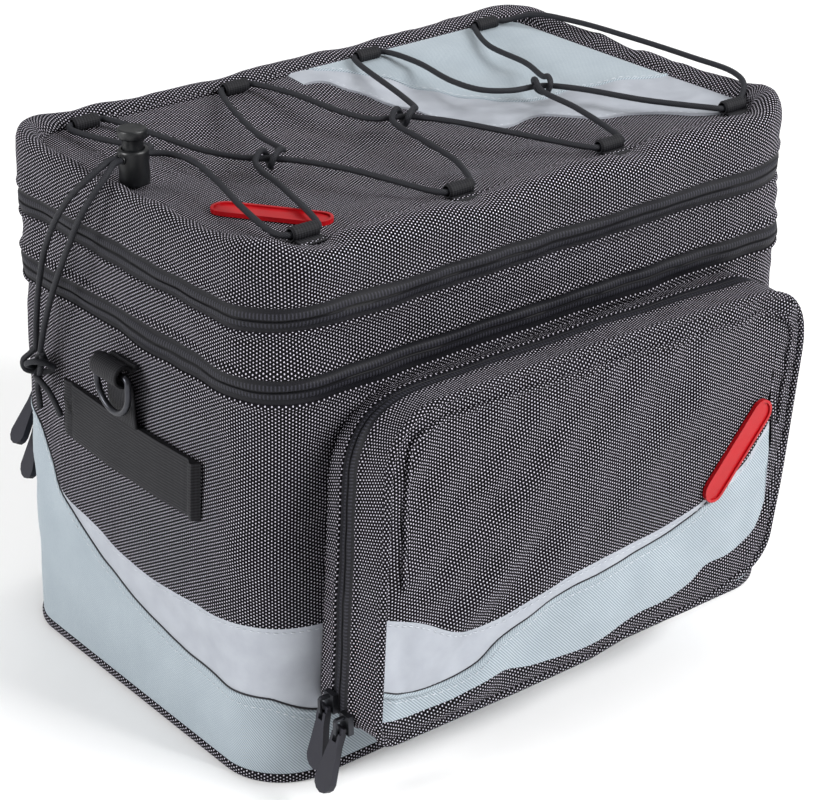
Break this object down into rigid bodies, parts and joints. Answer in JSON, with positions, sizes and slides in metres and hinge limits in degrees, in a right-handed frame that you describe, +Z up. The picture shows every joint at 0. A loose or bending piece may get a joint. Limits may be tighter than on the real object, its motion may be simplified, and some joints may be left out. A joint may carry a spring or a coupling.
{
  "type": "bicycle rack bag",
  "caption": "Soft box bag for a bicycle rack, with an expansion collar, a zipped lid under elastic lacing and a zipped pocket on each long side.",
  "frame": {"origin": "middle of the flat base, on the rack", "axes": "+X along the bag from the cord lock to the far end, -Y towards the front pocket, +Z up"},
  "size_m": [0.3648, 0.304, 0.2887],
  "materials": {
    "zip_tape": "fine black woven tape, matt",
    "elastic_cord": "braided black elastic, matt",
    "webbing": "ribbed black webbing, matt",
    "black_cloth": "black woven polyester with a lattice of pale dots, matt",
    "cord_lock_plastic": "black moulded plastic",
    "dark_metal": "dark coated metal",
    "pull_rubber": "grey soft plastic, matt",
    "grey_cloth": "grey woven polyester with a fine diagonal rib",
    "reflective_cloth": "smooth silver reflective cloth",
    "red_badge": "red moulded plastic with a raised rim"
  },
  "bodies": {
    "bag": {"floor_panel": "black_cloth", "base_binding": "black_cloth", "grey_bottom_panel": "grey_cloth", "body_piping": "zip_tape", "reflective_band_lock_end": "reflective_cloth", "reflective_band_far_end": "reflective_cloth", "body_wall": "black_cloth", "expansion_zip": "zip_tape", "expansion_collar": "black_cloth", "lid_zip": "zip_tape", "lid_hinge": "black_cloth", "lid_shell": "black_cloth", "lid_reflective_band": "reflective_cloth", "lid_grey_panel": "grey_cloth", "lace_sleeve_back_1": "webbing", "lace_sleeve_back_2": "webbing", "lace_sleeve_back_3": "webbing", "lace_sleeve_back_4": "webbing", "lace_sleeve_front_1": "webbing", "lace_sleeve_front_2": "webbing", "lace_sleeve_front_3": "webbing", "lace_sleeve_front_4": "webbing", "lace_cord": "elastic_cord", "free_end_1": "elastic_cord", "free_end_2": "elastic_cord", "end_knot": "elastic_cord", "cord_lock_barrel": "cord_lock_plastic", "light_strap": "webbing", "ring_tab_lock_end": "webbing", "ring_tab_far_end": "webbing", "front_pocket_flange": "black_cloth", "front_pocket_zip": "zip_tape", "front_pocket_hinge": "black_cloth", "front_pocket_shell": "black_cloth", "front_pocket_grey_panel": "grey_cloth", "front_pocket_reflective_band": "reflective_cloth", "back_pocket_flange": "black_cloth", "back_pocket_zip": "zip_tape", "back_pocket_hinge": "black_cloth", "back_pocket_shell": "black_cloth", "back_pocket_grey_panel": "grey_cloth", "back_pocket_reflective_band": "reflective_cloth", "front_pocket_slider_1": "dark_metal", "front_pocket_slider_2": "dark_metal", "back_pocket_slider_1": "dark_metal", "back_pocket_slider_2": "dark_metal", "lid_zip_slider_1": "dark_metal", "lid_zip_slider_2": "dark_metal", "expansion_zip_slider": "dark_metal", "pocket_badge": "red_badge", "lid_badge": "red_badge"},
    "back_pocket_pull_1": {"back_pocket_pull_1": "pull_rubber"},
    "back_pocket_pull_2": {"back_pocket_pull_2": "pull_rubber"},
    "carrying_ring_far_end": {"carrying_ring_far_end": "dark_metal"},
    "carrying_ring_lock_end": {"carrying_ring_lock_end": "dark_metal"},
    "cord_lock_button": {"cord_lock_button": "cord_lock_plastic"},
    "front_pocket_pull_1": {"front_pocket_pull_1": "pull_rubber"},
    "front_pocket_pull_2": {"front_pocket_pull_2": "pull_rubber"}
  },
  "joints": [
    {"name": "ring_lock_end_swing", "type": "hinge", "parent": "bag", "child": "carrying_ring_lock_end", "pos_m": [-0.17452, -0.0065, 0.1835], "axis": [0, 1, 0], "range_deg": [0, 140]},
    {"name": "ring_far_end_swing", "type": "hinge", "parent": "bag", "child": "carrying_ring_far_end", "pos_m": [0.18009, 0.0065, 0.1835], "axis": [0, -1, 0], "range_deg": [0, 140]},
    {"name": "cord_lock_press", "type": "slide", "parent": "bag", "child": "cord_lock_button", "axis": [0, 0, -1], "range_m": [0, 0.003], "stiffness_N_per_m": 600, "springref_m": -0.004},
    {"name": "front_pull_1_swing", "type": "hinge", "parent": "bag", "child": "front_pocket_pull_1", "pos_m": [-0.14434, -0.1272, 0.0481], "axis": [0, 1, 0], "range_deg": [-9, 100]},
    {"name": "front_pull_2_swing", "type": "hinge", "parent": "bag", "child": "front_pocket_pull_2", "pos_m": [-0.14481, -0.1394, 0.0426], "axis": [0, 1, 0], "range_deg": [-17, 95]},
    {"name": "back_pull_1_swing", "type": "hinge", "parent": "bag", "child": "back_pocket_pull_1", "pos_m": [-0.14117, 0.1258, 0.1146], "axis": [0, 1, 0], "range_deg": [0, 80]},
    {"name": "back_pull_2_swing", "type": "hinge", "parent": "bag", "child": "back_pocket_pull_2", "pos_m": [-0.14233, 0.1258, 0.0956], "axis": [0, 1, 0], "range_deg": [-17, 30]}
  ]
}
